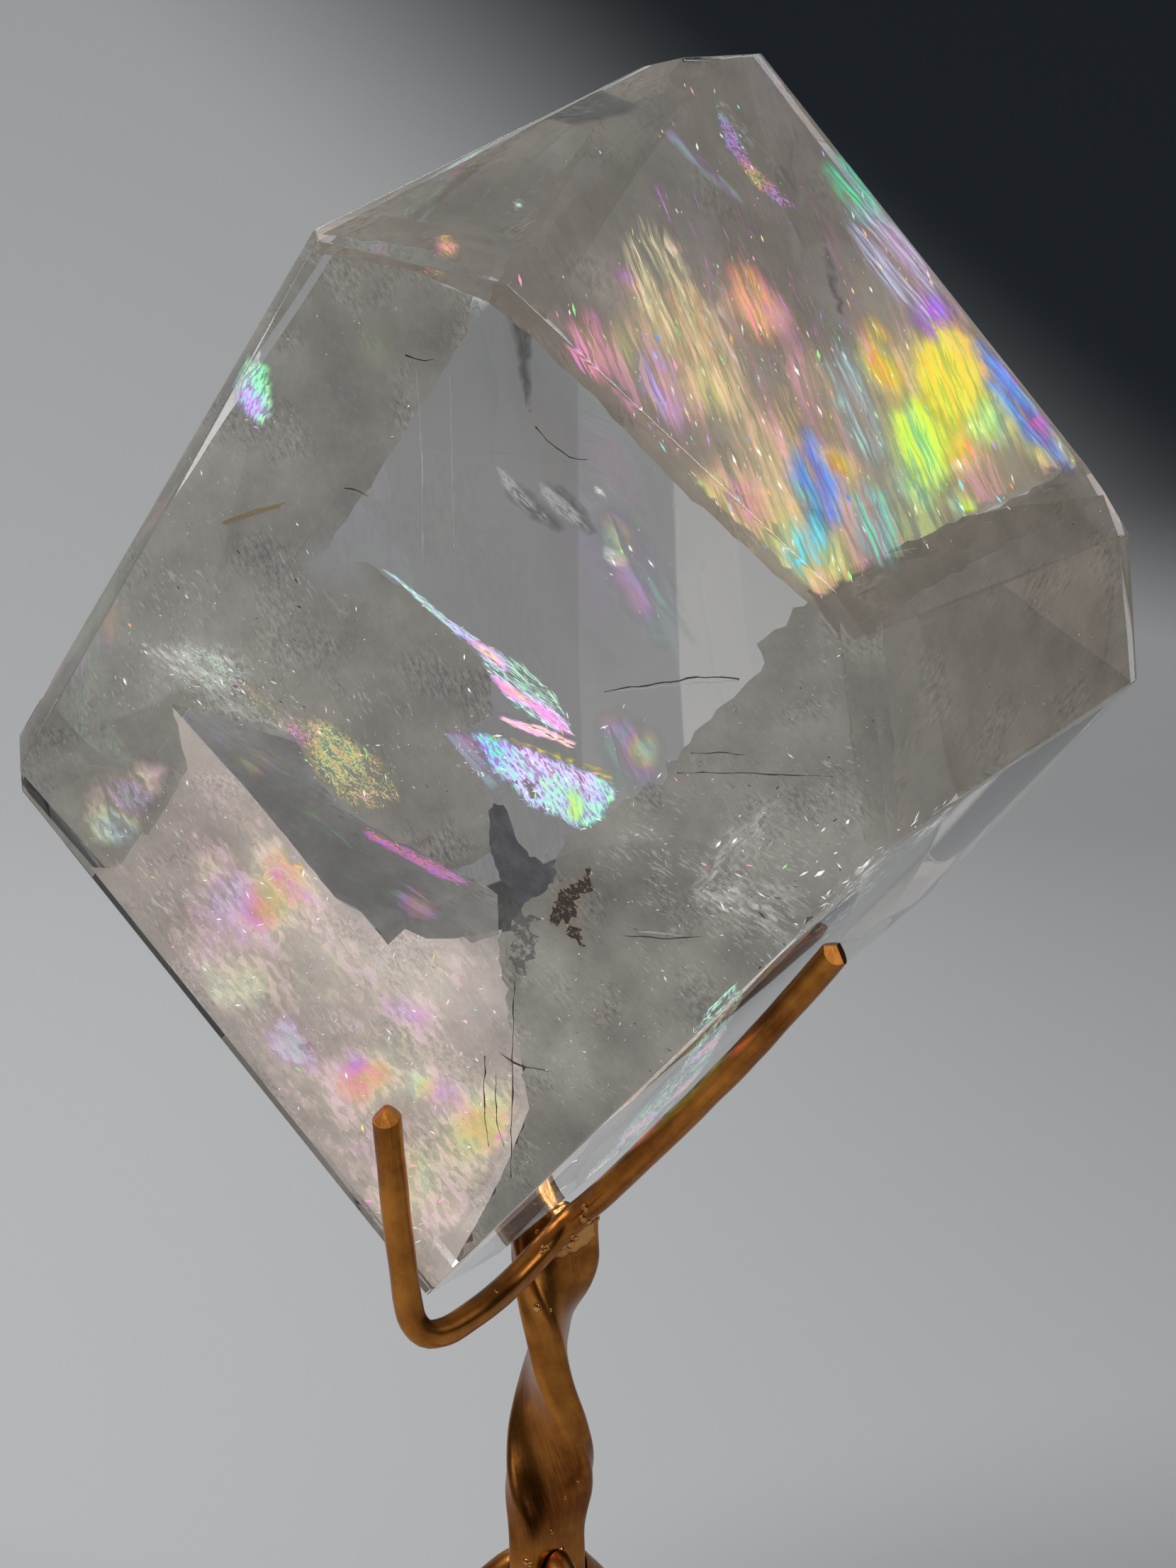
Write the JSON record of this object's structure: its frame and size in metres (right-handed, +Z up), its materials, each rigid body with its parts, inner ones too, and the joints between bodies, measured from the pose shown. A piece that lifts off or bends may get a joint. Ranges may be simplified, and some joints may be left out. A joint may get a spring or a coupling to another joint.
{
  "type": "crystal specimen on claw stand",
  "caption": "Clear faceted calcite block with inner rainbow fractures, held by bent metal prongs on a twisted bar that stands on three splayed legs.",
  "frame": {"origin": "middle of the footprint box, on the ground under the three feet", "axes": "+Z up through the stem, -Y towards the side from which the front face and both front prongs show"},
  "size_m": [0.1122, 0.0912, 0.1833],
  "materials": {
    "calcite": "clear mineral, polished and natural faces",
    "stand_metal": "satin bronze-brown brass with heat marks",
    "inclusions": "sealed fracture veils with thin-film colours",
    "mineral_stains": "dull brown, ochre and slate-grey mineral matter inside the crystal"
  },
  "bodies": {
    "root": {"calcite_crystal": "calcite", "front_claw_rod": "stand_metal", "rear_prong": "stand_metal", "twisted_stem": "stand_metal", "left_leg": "stand_metal", "right_leg": "stand_metal", "front_leg": "stand_metal"}
  },
  "joints": []
}
